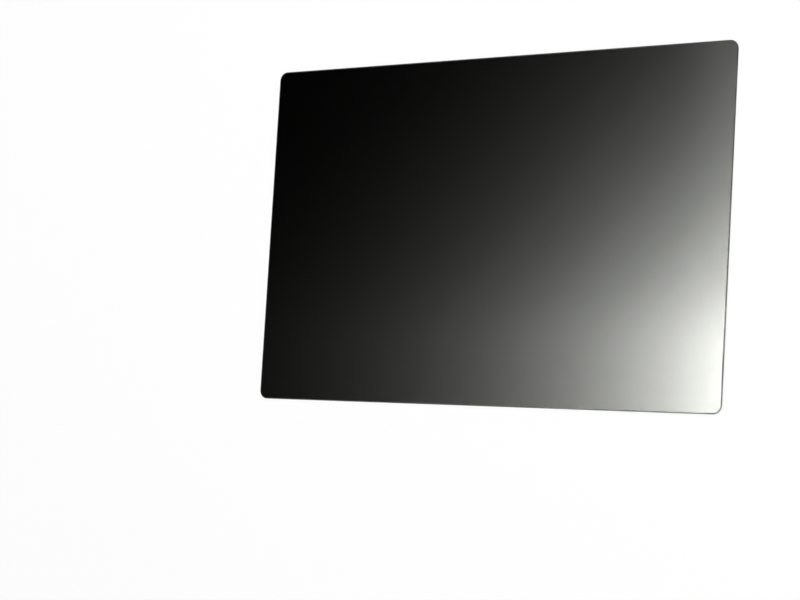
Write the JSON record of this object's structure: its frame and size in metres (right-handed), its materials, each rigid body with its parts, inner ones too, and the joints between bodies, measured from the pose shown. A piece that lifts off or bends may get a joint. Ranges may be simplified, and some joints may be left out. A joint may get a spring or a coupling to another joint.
{
  "type": "laptop privacy filter",
  "caption": "Thin flat rectangular sheet of dark louvre film with rounded corners, laid over a laptop screen to hide it from side views.",
  "frame": {"origin": "middle of the back face, which lies against the screen or on the floor", "axes": "+X along the sheet's width, +Y up its height as it sits on the screen, +Z out of the viewing side"},
  "size_m": [0.3026, 0.1966, 0.0005],
  "materials": {
    "louvre_film": "satin black film, smoky and partly clear when seen straight on"
  },
  "bodies": {
    "root": {"filter_sheet": "louvre_film"}
  },
  "joints": []
}
